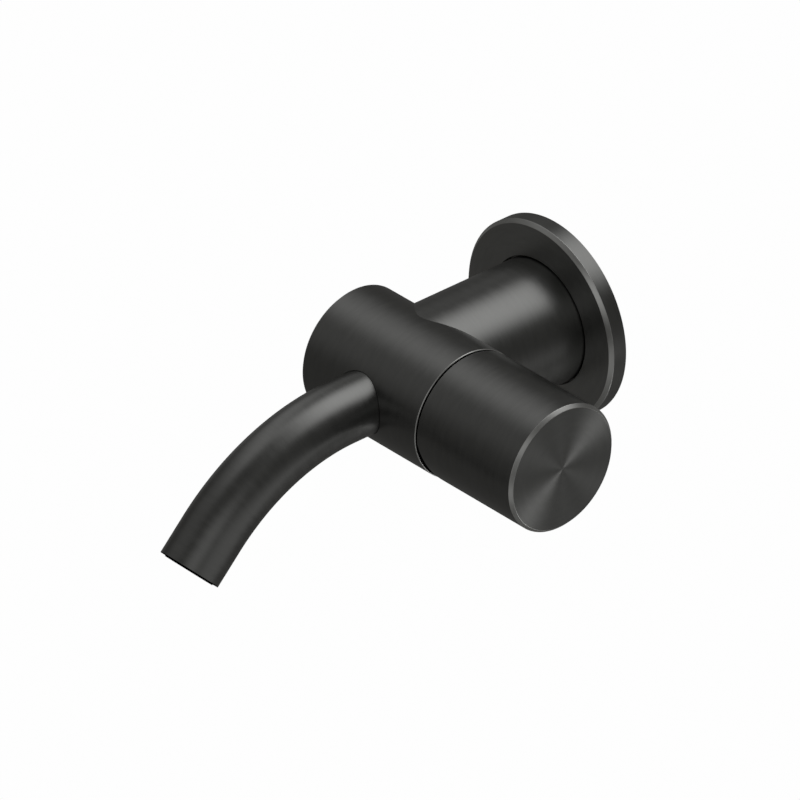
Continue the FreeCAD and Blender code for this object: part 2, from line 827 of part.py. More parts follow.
def make_knob_screw_plug():
    start = point(hub_middle, body_out, -knob_bore)
    length = knob_wall - plug_inset
    return Part.makeCylinder(grub_radius + slide_fit, length, start, -UP)


neck_grub_angles = (-90 - neck_grub_angle, -90 + neck_grub_angle)

makers = {
    "mounting_plate": make_mounting_plate,
    "wall_gasket": make_wall_gasket,
    "rosette": make_rosette,
    "rosette_o_ring": make_rosette_o_ring,
    "neck_tube": make_neck_tube,
    "neck_grub_screws": make_neck_grub_screws,
    "supply_manifold": make_supply_manifold,
    "inlet_strainers": make_inlet_strainers,
    "manifold_o_rings": make_manifold_o_rings,
    "manifold_screws": make_manifold_screws,
    "mixer_body": make_mixer_body,
    "spout_tube": make_spout_tube,
    "spout_connector": make_spout_connector,
    "spout_o_ring": make_spout_o_ring,
    "spout_grub_screw": make_spout_grub_screw,
    "aerator_housing": make_aerator_housing,
    "aerator_insert": make_aerator_insert,
    "aerator_washer": make_aerator_washer,
    "cartridge_base": make_cartridge_base,
    "cartridge_seals": make_cartridge_seals,
    "fixed_ceramic_disc": make_fixed_ceramic_disc,
    "moving_ceramic_disc": make_moving_ceramic_disc,
    "disc_driver": make_disc_driver,
    "cartridge_housing": make_cartridge_housing,
    "cartridge_nut": make_cartridge_nut,
    "dome_cover": make_dome_cover,
    "lever_yoke": make_lever_yoke,
    "lever_pin": make_lever_pin,
    "control_lever": make_control_lever,
    "knob_hub": make_knob_hub,
    "knob_shell": make_knob_shell,
    "knob_grub_screw": make_knob_grub_screw,
    "knob_screw_plug": make_knob_screw_plug,
}

for name, make in makers.items():
    shape = make()
    box = shape.BoundBox
    print(f"{name}: {len(shape.Solids)} solid(s), {shape.Volume:.0f} mm3, valid {shape.isValid()},",
          f"x {box.XMin:.1f}..{box.XMax:.1f}, y {box.YMin:.1f}..{box.YMax:.1f},",
          f"z {box.ZMin:.1f}..{box.ZMax:.1f}")
    shape.exportStep(f"parts/{name}.step")

print(f"knob pivot at x {pivot_x:.2f}, out {body_out:.2f}; lever arm {lever_arm:.3f}")
print(f"disc travel {disc_travel:.3f} over {knob_tilt:.0f} degrees,",
      f"which is {disc_travel / math.radians(knob_tilt):.4f} mm per radian")
print(f"seat x {seat_x:.2f}, manifold seat {manifold_seat_out:.2f} out, spout floor {socket_out:.2f} out")
print(f"outlet at y {outlet.y:.2f}, z {outlet.z:.2f}; knob end at x {knob_end:.2f}")
print(f"wall screws on a circle of radius {wall_screw_circle:.3f}; plate radius {plate_radius:.3f}")
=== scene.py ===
# %% [markdown]
# # A wall-mounted basin mixer in brushed gunmetal
#
# The tap is a level bar with a neck that goes to the wall, a bent spout at the front and a
# round knob at its right-hand end. Nearly every part of it was turned on a lathe, so nearly
# every piece here starts as an outline that is spun round an axis.
#
# The frame holds the same tap as plain solids at their real size, and says which of them
# move. This script gives each solid its finish, and replaces those that show most by meshes
# with soft edges and with a map that says which way the metal was brushed.

# %% Load the frame
import json
import math
import bmesh
import bpy
from mathutils import Matrix, Vector


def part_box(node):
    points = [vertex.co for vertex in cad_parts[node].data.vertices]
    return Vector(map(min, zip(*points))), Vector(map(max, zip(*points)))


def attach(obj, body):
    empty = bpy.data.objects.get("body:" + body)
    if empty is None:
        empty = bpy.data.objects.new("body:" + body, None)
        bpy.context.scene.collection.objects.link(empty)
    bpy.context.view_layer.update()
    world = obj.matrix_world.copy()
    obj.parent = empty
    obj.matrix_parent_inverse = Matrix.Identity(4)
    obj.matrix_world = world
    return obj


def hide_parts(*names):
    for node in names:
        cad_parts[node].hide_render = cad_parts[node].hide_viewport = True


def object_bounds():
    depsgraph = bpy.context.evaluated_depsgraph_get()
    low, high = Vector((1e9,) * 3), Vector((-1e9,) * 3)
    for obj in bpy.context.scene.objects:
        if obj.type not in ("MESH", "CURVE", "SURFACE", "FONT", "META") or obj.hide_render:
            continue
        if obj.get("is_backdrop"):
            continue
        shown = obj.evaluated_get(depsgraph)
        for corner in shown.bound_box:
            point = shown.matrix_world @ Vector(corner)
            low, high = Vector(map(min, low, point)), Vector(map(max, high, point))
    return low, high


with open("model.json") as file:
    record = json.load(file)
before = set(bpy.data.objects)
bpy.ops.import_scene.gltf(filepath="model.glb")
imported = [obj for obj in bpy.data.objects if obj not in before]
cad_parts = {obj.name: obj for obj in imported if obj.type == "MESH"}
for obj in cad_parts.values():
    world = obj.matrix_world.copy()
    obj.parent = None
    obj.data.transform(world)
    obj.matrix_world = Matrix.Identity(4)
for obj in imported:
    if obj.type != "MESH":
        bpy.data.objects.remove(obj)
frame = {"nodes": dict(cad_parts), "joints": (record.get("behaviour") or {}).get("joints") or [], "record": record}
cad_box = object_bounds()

# %% [markdown]
# ## Sizes
#
# The main sizes are read from the boxes of the solids, so the pieces made here always fit
# them. Only small things that a box can't tell, such as a chamfer, are written as numbers.
# Blender counts in metres, so a small name for a millimetre keeps the numbers readable.

# %% Sizes of the turned parts
mm = 0.001

body_low, body_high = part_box("mixer_body")
body_radius = body_high.z
body_axis = Vector((0, (body_low.y + body_high.y) / 2, 0))
body_end_chamfer = 1.0 * mm
mouth_chamfer = 0.22 * mm

neck_low, neck_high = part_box("neck_tube")
neck_radius = neck_high.z
neck_wall = 2.5 * mm

rosette_low, rosette_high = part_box("rosette")
rosette_radius = rosette_high.z
rosette_depth = rosette_high.y - rosette_low.y
rosette_front = 1.5 * mm
rosette_wall = 1.7 * mm
rosette_chamfer = 1.2 * mm
rosette_hole_gap = 0.35 * mm
rosette_hole = neck_radius + rosette_hole_gap
rosette_hole_chamfer = 0.3 * mm

knob_low, knob_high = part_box("knob_shell")
knob_radius = knob_high.z
knob_wall = 3.0 * mm
knob_end_thickness = 4.0 * mm
knob_chamfer = 1.05 * mm

print(f"body radius {body_radius / mm:.2f} mm, neck {neck_radius / mm:.2f}, "
      f"rosette {rosette_radius / mm:.2f}, knob {knob_radius / mm:.2f}")

# %% [markdown]
# The spout is a straight stretch, a bend and a straight end. The bend starts where the tube
# has left the body, and its far end carries a black aerator that stands just proud.

# %% Sizes of the spout
spout_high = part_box("spout_tube")[1]
spout_radius = spout_high.x
spout_wall = 2.5 * mm
spout_foot = spout_high.y
spout_bend_start = -92.5 * mm
spout_bend_radius = 78.0 * mm
spout_bend_angle = math.radians(45)
spout_end_length = 13.5 * mm
spout_socket_gap = 0.15 * mm

aerator_seat_radius = 8.9 * mm
aerator_seat_depth = 10.2 * mm
print(f"spout radius {spout_radius / mm:.2f} mm, foot at y {spout_foot / mm:.1f} mm")

# %% [markdown]
# ## Tools for materials
#
# A node tree is easier to read as a chain of short calls than as a picture with fifty wires.
# One helper adds a node and links its inputs, and another starts a node group with named
# sockets, so that an effect is built once and used by many materials. A noise stays mostly
# near its middle, so a third helper spreads that middle over the range that is wanted.

# %% Add nodes and groups
NOISE_LOW = 0.3
NOISE_HIGH = 0.7


def add(tree, kind, links=None, **settings):
    """A new node. Its settings are made first, and then its inputs are linked or set."""
    node = tree.nodes.new(kind)
    for name, value in settings.items():
        setattr(node, name, value)
    for name, source in (links or {}).items():
        socket = node.inputs[name]
        if isinstance(source, bpy.types.NodeSocket):
            tree.links.new(source, socket)
        else:
            socket.default_value = source
    return node


def new_group(name, inputs, outputs):
    """An empty node group. An input of None is a vector, and every other one a number."""
    group = bpy.data.node_groups.new(name, "ShaderNodeTree")
    for label, value in inputs.items():
        kind = "NodeSocketVector" if value is None else "NodeSocketFloat"
        socket = group.interface.new_socket(label, in_out="INPUT", socket_type=kind)
        if value is not None:
            socket.default_value = value
    for label in outputs:
        group.interface.new_socket(label, in_out="OUTPUT", socket_type="NodeSocketFloat")
    print("new node group:", name, list(inputs), "->", list(outputs))
    return group, group.nodes.new("NodeGroupInput"), group.nodes.new("NodeGroupOutput")


def spread(tree, source, low, high, start=NOISE_LOW, end=NOISE_HIGH):
    """Maps what lies between start and end to the range from low to high."""
    node = add(tree, "ShaderNodeMapRange",
               {"Value": source, "From Min": start, "From Max": end, "To Min": low, "To Max": high})
    return node.outputs["Result"]


# %% [markdown]
# ### Brushed lines
#
# Brushing is a noise in four dimensions. Three of them are the place on the tap, taken
# slowly, and the fourth is the way across the lines, taken very fast. So the noise changes
# quickly across the lines and hardly at all along them, and each line still ends somewhere,
# as a real scratch does. A second noise of the same kind, several times as coarse, is the
# haze that hand polishing leaves: short, soft smears along the same way.

# %% The brushed lines as a node group
LINE_LENGTH = 8 * mm
LINE_WIDTH = 0.12 * mm
SMEAR_WIDTH = 1.8 * mm
SMEAR_LENGTH = 7 * mm
FINE_NOISE = {"Detail": 3.0, "Roughness": 0.6}


def stretched_noise(tree, place, across, length, width):
    """Noise that is drawn out along the lines. Length and width are numbers or sockets."""
    slowness = add(tree, "ShaderNodeMath", {0: 1.0, 1: length}, operation="DIVIDE")
    slow = add(tree, "ShaderNodeVectorMath", {"Vector": place, "Scale": slowness.outputs[0]},
               operation="SCALE")
    fast = add(tree, "ShaderNodeMath", {0: across, 1: width}, operation="DIVIDE")
    noise = add(tree, "ShaderNodeTexNoise",
                {"Vector": slow.outputs[0], "W": fast.outputs[0], "Scale": 1.0, **FINE_NOISE},
                noise_dimensions="4D")
    return noise.outputs["Fac"]


def make_brushing():
    group, given, result = new_group(
        "brushing", {"Across": 0.0, "Place": None, "Line width": LINE_WIDTH}, ("Lines", "Haze"))
    place, across, width = (given.outputs[label] for label in ("Place", "Across", "Line width"))
    lines = stretched_noise(group, place, across, LINE_LENGTH, width)
    haze = stretched_noise(group, place, across, SMEAR_LENGTH, SMEAR_WIDTH)
    group.links.new(lines, result.inputs["Lines"])
    group.links.new(haze, result.inputs["Haze"])
    return group


brushing = make_brushing()

# %% [markdown]
# ### From a pattern to a finish
#
# All finishes are made alike. A fine and a coarse pattern are added up to one mask, each
# with its share of it. The colour goes from dark to light with the mask and the roughness
# from low to high, while the fine pattern alone gives the surface its tiny height. Patterns
# are laid in Object coordinates, which are metres on the tap and stay put when it moves.

# %% Start a finish and lay a pattern on it
def start_finish(name, metallic):
    """A new material, with its node tree, its shader and the place on the object."""
    finish = bpy.data.materials.new(name)
    finish.use_nodes = True
    tree = finish.node_tree
    shader = tree.nodes["Principled BSDF"]
    shader.inputs["Metallic"].default_value = metallic
    print("new finish:", name)
    return finish, tree, shader, add(tree, "ShaderNodeTexCoord").outputs["Object"]


def lay_pattern(tree, shader, fine, coarse, fine_share, colours, rough, strength, depth):
    """Colour and roughness follow both patterns. Strength and depth are those of the bump."""
    mask = add(tree, "ShaderNodeMath", {0: spread(tree, fine, 0, fine_share),
                                        1: spread(tree, coarse, 0, 1 - fine_share)}).outputs[0]
    dark, light = ((*colour, 1) for colour in colours)
    colour = add(tree, "ShaderNodeMix", {"Factor": mask, "A": dark, "B": light}, data_type="RGBA")
    tree.links.new(colour.outputs["Result"], shader.inputs["Base Color"])
    tree.links.new(spread(tree, mask, *rough, 0, 1), shader.inputs["Roughness"])
    bump = add(tree, "ShaderNodeBump", {"Height": fine, "Strength": strength, "Distance": depth})
    tree.links.new(bump.outputs["Normal"], shader.inputs["Normal"])


# %% [markdown]
# ### The gunmetal of the parts that show
#
# The finish is a dark metal coat over brushed steel: colourless, dim, and soft in its shine.
# The lathe leaves four kinds of surface, and one recipe makes them all. The round sides were
# matted with a soft belt, so they shine alike in every direction. Flat faces show the rings
# of the tool, which pull each gleam into a bow tie: that is what Anisotropic does, with a
# quarter of a turn because the rings lie along U and the gleam crosses them. The narrow
# chamfers were cut last and shine most.

# %% The gunmetal finishes
UV_NAME = "brushing"
QUARTER_TURN = 0.25
GUNMETAL_TINT = (1.0, 1.005, 0.98)
GUNMETAL_CONTRAST = 0.08
GUNMETAL_LINE_SHARE = 0.3
GUNMETAL_LINE_WIDTH = 0.45 * mm
GUNMETAL_LINE_DEPTH = 0.02 * mm
GUNMETAL_BUMP = 0.1
ROUGHNESS_PLAY = 0.03


def gunmetal(name, grey, rough, anisotropic):
    """How light the metal is, how rough, and how far its gleams are pulled apart."""
    finish, tree, shader, place = start_finish(name, metallic=1.0)
    shader.inputs["Anisotropic"].default_value = anisotropic
    shader.inputs["Anisotropic Rotation"].default_value = QUARTER_TURN
    tangent = add(tree, "ShaderNodeTangent", direction_type="UV_MAP", uv_map=UV_NAME)
    tree.links.new(tangent.outputs[0], shader.inputs["Tangent"])
    uv = add(tree, "ShaderNodeUVMap", uv_map=UV_NAME)
    across = add(tree, "ShaderNodeSeparateXYZ", {0: uv.outputs[0]}).outputs["Y"]
    brushed = add(tree, "ShaderNodeGroup",
                  {"Across": across, "Place": place, "Line width": GUNMETAL_LINE_WIDTH},
                  node_tree=brushing)
    colours = [[grey * part * (1 + sign * GUNMETAL_CONTRAST) for part in GUNMETAL_TINT]
               for sign in (-1, 1)]
    lay_pattern(tree, shader, brushed.outputs["Lines"], brushed.outputs["Haze"],
                GUNMETAL_LINE_SHARE, colours, (rough - ROUGHNESS_PLAY, rough + ROUGHNESS_PLAY),
                GUNMETAL_BUMP, GUNMETAL_LINE_DEPTH)
    return finish


brushed_side = gunmetal("gunmetal_brushed", grey=0.205, rough=0.31, anisotropic=0.0)
turned_end = gunmetal("gunmetal_turned", grey=0.25, rough=0.42, anisotropic=0.9)
faced_front = gunmetal("gunmetal_faced", grey=0.33, rough=0.36, anisotropic=0.4)
cut_edge = gunmetal("gunmetal_cut", grey=0.58, rough=0.32, anisotropic=0.0)
gunmetal_cuts = (brushed_side, turned_end, cut_edge, faced_front)
print("gunmetal finishes:", [finish.name for finish in gunmetal_cuts])

# %% [markdown]
# ### Finishes of the small parts
#
# The small parts keep the shape of their solids. Those that were turned get the same brushed
# lines, laid round the axis of the lathe: a place is turned until that axis is X, and then
# its distance from the axis and its way along it, added up, run across the rings on sides
# and on faces alike. Moulded parts get the fine grain of a mould in place of the lines.

# %% Rings and grain as node groups
GRAIN_SIZE = 0.3 * mm
BLOTCH_SIZE = 1 / 240
BLOTCH_DETAIL = 4.0


def make_lathe_rings():
    group, given, result = new_group("lathe_rings", {"Place": None}, ("Across",))
    place = given.outputs["Place"]
    flat = add(group, "ShaderNodeVectorMath", {0: place, 1: (0, 1, 1)}, operation="MULTIPLY")
    radius = add(group, "ShaderNodeVectorMath", {0: flat.outputs[0]}, operation="LENGTH")
    along = add(group, "ShaderNodeSeparateXYZ", {0: place}).outputs["X"]
    across = add(group, "ShaderNodeMath", {0: radius.outputs["Value"], 1: along})
    group.links.new(across.outputs[0], result.inputs["Across"])
    return group


def make_mould_grain():
    group, given, result = new_group(
        "mould_grain", {"Place": None, "Grain size": GRAIN_SIZE}, ("Grain", "Blotches"))
    place = given.outputs["Place"]
    scale = add(group, "ShaderNodeMath", {0: 1.0, 1: given.outputs["Grain size"]},
                operation="DIVIDE").outputs[0]
    grain = add(group, "ShaderNodeTexNoise", {"Vector": place, "Scale": scale, **FINE_NOISE})
    blotches = add(group, "ShaderNodeTexNoise",
                   {"Vector": place, "Scale": 1 / BLOTCH_SIZE, **FINE_NOISE, "Detail": BLOTCH_DETAIL})
    group.links.new(grain.outputs["Fac"], result.inputs["Grain"])
    group.links.new(blotches.outputs["Fac"], result.inputs["Blotches"])
    return group


lathe_rings = make_lathe_rings()
mould_grain = make_mould_grain()

# %% [markdown]
# Two axes are enough: the neck's, straight out of the wall, and the body's, which runs level
# in front of the wall. A Mapping node brings either of them onto X.

# %% One recipe for turned and one for moulded parts
OUT_OF_WALL_AXIS = {"Location": (0, 0, 0), "Rotation": (0, 0, -math.pi / 2)}
BODY_AXIS = {"Location": -body_axis, "Rotation": (0, 0, 0)}
FINE_SHARE = 0.6
BUMP_STRENGTH = 0.5
TURNED_LINE_DEPTH = 0.01 * mm
GRAIN_DEPTH = 0.02 * mm


def turned_metal(name, axis, dark, light, rough):
    finish, tree, shader, place = start_finish(name, metallic=1.0)
    laid = add(tree, "ShaderNodeMapping", {"Vector": place, **axis})
    rings = add(tree, "ShaderNodeGroup", {"Place": laid.outputs[0]}, node_tree=lathe_rings)
    brushed = add(tree, "ShaderNodeGroup",
                  {"Across": rings.outputs["Across"], "Place": place, "Line width": LINE_WIDTH},
                  node_tree=brushing)
    lay_pattern(tree, shader, brushed.outputs["Lines"], brushed.outputs["Haze"], FINE_SHARE,
                (dark, light), rough, BUMP_STRENGTH, TURNED_LINE_DEPTH)
    return finish


def moulded(name, dark, light, rough, grain_size=GRAIN_SIZE, depth=GRAIN_DEPTH, metallic=0.0,
            gleam=0.5):
    finish, tree, shader, place = start_finish(name, metallic)
    shader.inputs["Specular IOR Level"].default_value = gleam
    grain = add(tree, "ShaderNodeGroup", {"Place": place, "Grain size": grain_size},
                node_tree=mould_grain)
    lay_pattern(tree, shader, grain.outputs["Grain"], grain.outputs["Blotches"], FINE_SHARE,
                (dark, light), rough, BUMP_STRENGTH, depth)
    return finish


# %% [markdown]
# The steel plate and its screws are bare, so they are the brightest parts. Brass is the same
# recipe in yellow. The headless screws are blackened, the aerator and the cover in the
# knob's mouth are satin black, and seals are rubber with a trace of dust. Each finish is
# given by its dark and its light colour and by how smooth and how rough it gets.

# %% The finishes, slot by slot
DARK_STEEL, LIGHT_STEEL = (0.42, 0.42, 0.41), (0.60, 0.60, 0.585)
DARK_BRASS, LIGHT_BRASS = (0.56, 0.38, 0.15), (0.76, 0.56, 0.27)
steel = turned_metal("steel_turned", OUT_OF_WALL_AXIS, DARK_STEEL, LIGHT_STEEL, (0.24, 0.38))
brass_out = turned_metal("brass_out_of_wall", OUT_OF_WALL_AXIS, DARK_BRASS, LIGHT_BRASS, (0.2, 0.34))
brass_along = turned_metal("brass_along_body", BODY_AXIS, DARK_BRASS, LIGHT_BRASS, (0.2, 0.34))
black_steel = moulded("steel_blackened", (0.035, 0.035, 0.035), (0.075, 0.074, 0.07),
                      (0.28, 0.42), metallic=0.8)
# Satin black is the real colour of the aerator and the cover, and the same finish is also laid as painted shade on
# the body's mouth face and at the spout's outlet.
satin_black_and_painted_shade = moulded("satin_black_and_painted_shade", (0.004, 0.004, 0.004), (0.008, 0.008, 0.008), (0.42, 0.55),
                      grain_size=0.2 * mm, depth=0.01 * mm, gleam=0.0)
rubber = moulded("rubber_seal", (0.012, 0.012, 0.012), (0.035, 0.034, 0.032), (0.62, 0.8),
                 grain_size=0.4 * mm, depth=0.03 * mm)
ceramic = moulded("ceramic_lapped", (0.74, 0.72, 0.67), (0.84, 0.83, 0.79), (0.12, 0.24),
                  grain_size=0.15 * mm, depth=0.004 * mm)
black_plastic = moulded("plastic_black", (0.014, 0.014, 0.014), (0.026, 0.026, 0.026), (0.36, 0.5))
white_plastic = moulded("plastic_white", (0.66, 0.66, 0.62), (0.76, 0.76, 0.73), (0.34, 0.46))

finish_of_slot = {
    "steel": steel, "brass": brass_along, "black_steel": black_steel, "black_trim": satin_black_and_painted_shade,
    "rubber": rubber, "ceramic": ceramic, "black_plastic": black_plastic, "white_plastic": white_plastic,
    "gunmetal": brushed_side,
}
finish_of_node = {"supply_manifold": brass_out, "spout_connector": brass_out}
for name, node in frame["nodes"].items():
    for slot in node.material_slots:
        slot.material = finish_of_node.get(name) or finish_of_slot[slot.material.name]
print("finishes:", len(bpy.data.materials), "on", len(frame["nodes"]), "nodes")

# %% [markdown]
# ## Tools for turned parts
#
# A lathe makes any shape that is round about an axis. Blender's spin does the same: it
# sweeps an outline, here a chain of edges drawn in one plane, round an axis in small steps.
# With use_merge the last step closes on the first, so no seam is left open. The axis is
# always +X here, and a finished part is laid on its real axis afterwards.

# %% Spin an outline
TURN_STEPS = 256
FULL_TURN = 2 * math.pi
MERGE = 1e-7


def turned(outline, steps=TURN_STEPS):
    """A closed solid from (along, radius) points: a chain from axis to axis, or a loop."""
    bm = bmesh.new()
    verts = [bm.verts.new((along, 0, radius)) for along, radius in outline]
    edges = [bm.edges.new(pair) for pair in zip(verts, verts[1:])]
    if outline[0][1] > 0:
        edges.append(bm.edges.new((verts[-1], verts[0])))
    bmesh.ops.spin(bm, geom=verts + edges, cent=(0, 0, 0), axis=(1, 0, 0), dvec=(0, 0, 0),
                   angle=FULL_TURN, steps=steps, use_merge=True)
    bmesh.ops.remove_doubles(bm, verts=bm.verts, dist=MERGE)
    bmesh.ops.recalc_face_normals(bm, faces=bm.faces)
    print("turned from", len(outline), "points in", steps, "steps:", len(bm.faces), "faces")
    return bm


# %% [markdown]
# A machined edge is never perfectly sharp. A tiny bevel along each hard edge catches a thin
# line of light, and that line is most of what tells the eye that a thing is real metal. How
# wide it is differs a little from part to part.

# %% Soften the hard edges
HARD_ANGLE = math.radians(25)
BEVEL_SEGMENTS = 2


def soften(bm, width):
    hard = [edge for edge in bm.edges if edge.is_manifold and edge.calc_face_angle() > HARD_ANGLE]
    bmesh.ops.bevel(bm, geom=hard, affect="EDGES", offset=width, segments=BEVEL_SEGMENTS,
                    profile=0.5, material=-1, clamp_overlap=True)
    print("hard edges softened:", len(hard))


# %% [markdown]
# Brushed metal gleams along a line that crosses its scratches. The shader asks for their
# direction as a tangent, which it takes from a UV map. So U runs round the part, the way a
# cloth runs on a lathe, and V runs along the outline, which places the fine lines.

# %% Map the brushing direction
LOOKS_BACK = -0.01


def near_turn(turn, middle_turn):
    """The same angle, in the round in which it lies nearest to the middle of its face."""
    return turn - FULL_TURN * round((turn - middle_turn) / FULL_TURN)


def map_brushing(bm, reach):
    """U is the way round the X axis at the radius called reach, V the way along the outline."""
    layer = bm.loops.layers.uv.new(UV_NAME)
    for face in bm.faces:
        face.normal_update()
        middle = face.calc_center_median()
        middle_turn = math.atan2(middle.z, middle.y)
        side = -1 if face.normal.x > LOOKS_BACK else 1
        for loop in face.loops:
            x, y, z = loop.vert.co
            radius = math.hypot(y, z)
            turn = math.atan2(z, y) if radius > MERGE else middle_turn
            loop[layer].uv = (near_turn(turn, middle_turn) * reach, x + side * radius)


# %% [markdown]
# Each kind of cut is a material slot, and a face falls into one by the direction in which it
# looks: across the axis it is a side, along the axis a flat face, and in between a chamfer.
# The rosette's front was faced more softly than the knob's end, so it has a slot of its own,
# and a last slot holds painted shade: the few faces that are painted black where shade falls.

# %% Sort the faces by how they were cut
# The last slot is painted shade: faces painted black where shade falls.
SIDE, END, EDGE, FRONT, PAINTED_SHADE = range(5)
part_finishes = (*gunmetal_cuts, satin_black_and_painted_shade)
SIDE_LIMIT = 0.2
FACE_LIMIT = 0.98


def sort_faces(bm, flat=END):
    for face in bm.faces:
        along = abs(face.normal.x)
        face.material_index = SIDE if along < SIDE_LIMIT else flat if along > FACE_LIMIT else EDGE


print("slots of a turned part:", [finish.name for finish in part_finishes])

# %% [markdown]
# Each finished mesh becomes an object that stays at the origin. It rides on the part of the
# tap that it moves with, and takes the place of the plain solid that it was made after.
#
# Smooth shading bends the light across every face, also across those that should look flat
# beside a tiny bevel. The Weighted Normal modifier mends that: a large face counts for more
# than a small one where they meet, so the bevels alone do the bending.

# %% Lay a part on its axis and finish it
OUT_OF_WALL = Matrix.Rotation(-math.pi / 2, 4, "Z")
ALONG_BODY = Matrix.Translation(body_axis)
SHARP_ANGLE = math.radians(40)


def new_object(name, bm, place=Matrix.Identity(4), finishes=part_finishes):
    """An object that stays at the origin: its place goes into its mesh."""
    bmesh.ops.transform(bm, matrix=place, verts=bm.verts)
    mesh = bpy.data.meshes.new(name)
    bm.to_mesh(mesh)
    bm.free()
    for finish in finishes:
        mesh.materials.append(finish)
    obj = bpy.data.objects.new(name, mesh)
    bpy.context.scene.collection.objects.link(obj)
    return obj


def keep_result(obj):
    """Makes what the modifiers show the real mesh, and drops the modifiers."""
    graph = bpy.context.evaluated_depsgraph_get()
    mesh = bpy.data.meshes.new_from_object(obj.evaluated_get(graph), preserve_all_data_layers=True,
                                           depsgraph=graph)
    old = obj.data
    obj.modifiers.clear()
    obj.data = mesh
    bpy.data.meshes.remove(old)
    mesh.name = obj.name


def dress(obj, body, node=None):
    """Smooth shading up to the hard edges, then the frame's own bookkeeping."""
    obj.data.shade_smooth()
    obj.data.set_sharp_from_angle(angle=SHARP_ANGLE)
    weigh = obj.modifiers.new("flat faces stay flat", "WEIGHTED_NORMAL")
    weigh.keep_sharp = True
    keep_result(obj)
    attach(obj, body)
    if node:
        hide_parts(node)
    low, high = (Vector(end(v.co[i] for v in obj.data.vertices) for i in range(3)) for end in (min, max))
    size = " x ".join(f"{length / mm:.1f}" for length in high - low)
    print(f"{obj.name}: {len(obj.data.polygons)} faces, {size} mm")
    return obj


# %% [markdown]
# A hole across a round bar meets it in a saddle-shaped edge that is tedious to draw. A
# Boolean modifier finds it: the drill is a spun bar of its own, taken away from the part.
# The result is kept as a plain mesh, and the drill is thrown away.

# %% Drill a hole
DRILL_STEPS = 96


def drill(obj, radius, start, direction, length):
    """Takes a round bar away from an object."""
    bm = turned([(0, 0), (0, radius), (length, radius), (length, 0)], DRILL_STEPS)
    map_brushing(bm, radius)
    turn = Vector((1, 0, 0)).rotation_difference(Vector(direction)).to_matrix().to_4x4()
    bit = new_object("drill", bm, Matrix.Translation(start) @ turn)
    cut = obj.modifiers.new("drill", "BOOLEAN")
    cut.operation = "DIFFERENCE"
    cut.solver = "EXACT"
    cut.material_mode = "INDEX"
    cut.object = bit
    keep_result(obj)
    bpy.data.objects.remove(bit)


# %% [markdown]
# ## Rosette
#
# The rosette is the round plate that hides the screws on the wall. It is a shallow turned
# dish, open to the wall, with a wide bright chamfer round its front and a hole that leaves
# a narrow dark ring round the neck.

# %% Make the rosette
rosette_soft_edge = 0.09 * mm
rosette = turned([
    (0, rosette_radius - rosette_wall),
    (0, rosette_radius),
    (rosette_depth - rosette_chamfer, rosette_radius),
    (rosette_depth, rosette_radius - rosette_chamfer),
    (rosette_depth, rosette_hole + rosette_hole_chamfer),
    (rosette_depth - rosette_hole_chamfer, rosette_hole),
    (rosette_depth - rosette_front, rosette_hole),
    (rosette_depth - rosette_front, rosette_radius - rosette_wall),
])
soften(rosette, rosette_soft_edge)
map_brushing(rosette, rosette_radius)
sort_faces(rosette, FRONT)
dress(new_object("rosette_dish", rosette, OUT_OF_WALL), "tap", "rosette")

# %% [markdown]
# ## Neck
#
# The neck is a plain tube. Its front end is cut to the round of the body, which a fitter
# calls coping. No Boolean is needed for that: each point of the end ring slides along the
# tube until it lies on the body's surface.

# %% Make the neck
neck_start = -neck_high.y
neck_end = -neck_low.y
neck = turned([
    (neck_start, neck_radius - neck_wall),
    (neck_start, neck_radius),
    (neck_end, neck_radius),
    (neck_end, neck_radius - neck_wall),
])
for vert in neck.verts:
    if vert.co.x > (neck_start + neck_end) / 2:
        vert.co.x = -body_axis.y - math.sqrt(body_radius ** 2 - vert.co.z ** 2)
map_brushing(neck, neck_radius)
neck = new_object("neck", neck, OUT_OF_WALL)

# %% [markdown]
# Two headless screws in the neck's underside hold it on the wall plate. Their places come
# from the box round both screws, so the holes always meet them.

# %% Drill the neck for its screws
grub_hole_radius = 2.05 * mm
grub_hole_start = neck_radius - 2 * neck_wall
grub_hole_length = 3 * neck_wall
grub_low, grub_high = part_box("neck_grub_screws")
grub_out = (grub_low.y + grub_high.y) / 2
grub_x = grub_high.x - grub_hole_radius
grub_z = grub_low.z + grub_hole_radius
for side in (-1, 1):
    away = Vector((side * grub_x, 0, grub_z)).normalized()
    start = away * grub_hole_start + Vector((0, grub_out, 0))
    drill(neck, grub_hole_radius, start, away, grub_hole_length)
dress(neck, "tap", "neck_tube")

# %% [markdown]
# ## Body
#
# The body is a solid bar, turned, with a chamfered end on the left. The right-hand end is
# bored out for the valve, so there the outline turns inwards. The ring-shaped face round
# that bore is painted black as painted shade, for the shade in the gap beside the knob.

# %% Make the body
thread_room = 0.05 * mm
bore_room = 0.15 * mm
thread_run_out = 1.5 * mm
valve_base_plate = 2.2 * mm
body_soft_edge = 0.06 * mm
nut_low, nut_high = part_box("cartridge_nut")
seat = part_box("fixed_ceramic_disc")[0].x - valve_base_plate
thread_radius = nut_high.z + thread_room
bore_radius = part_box("cartridge_base")[1].z + bore_room
body = turned([
    (body_low.x, 0),
    (body_low.x, body_radius - body_end_chamfer),
    (body_low.x + body_end_chamfer, body_radius),
    (body_high.x - mouth_chamfer, body_radius),
    (body_high.x, body_radius - mouth_chamfer),
    (body_high.x, thread_radius),
    (nut_low.x - thread_run_out, thread_radius),
    (nut_low.x - thread_run_out, bore_radius),
    (seat, bore_radius),
    (seat, 0),
])
soften(body, body_soft_edge)
map_brushing(body, body_radius)
sort_faces(body)
# Painted shade: the ring face round the bore is painted black, for the shade in the gap beside the knob.
for face in body.faces:
    if face.normal.x > FACE_LIMIT and face.calc_center_median().x > seat:
        face.material_index = PAINTED_SHADE
body = new_object("body_bar", body, ALONG_BODY)

# %% [markdown]
# Three holes are drilled into the bar: the socket of the spout at the front, the bore of the
# inlet piece at the back, and underneath the thread of the screw that holds the spout.

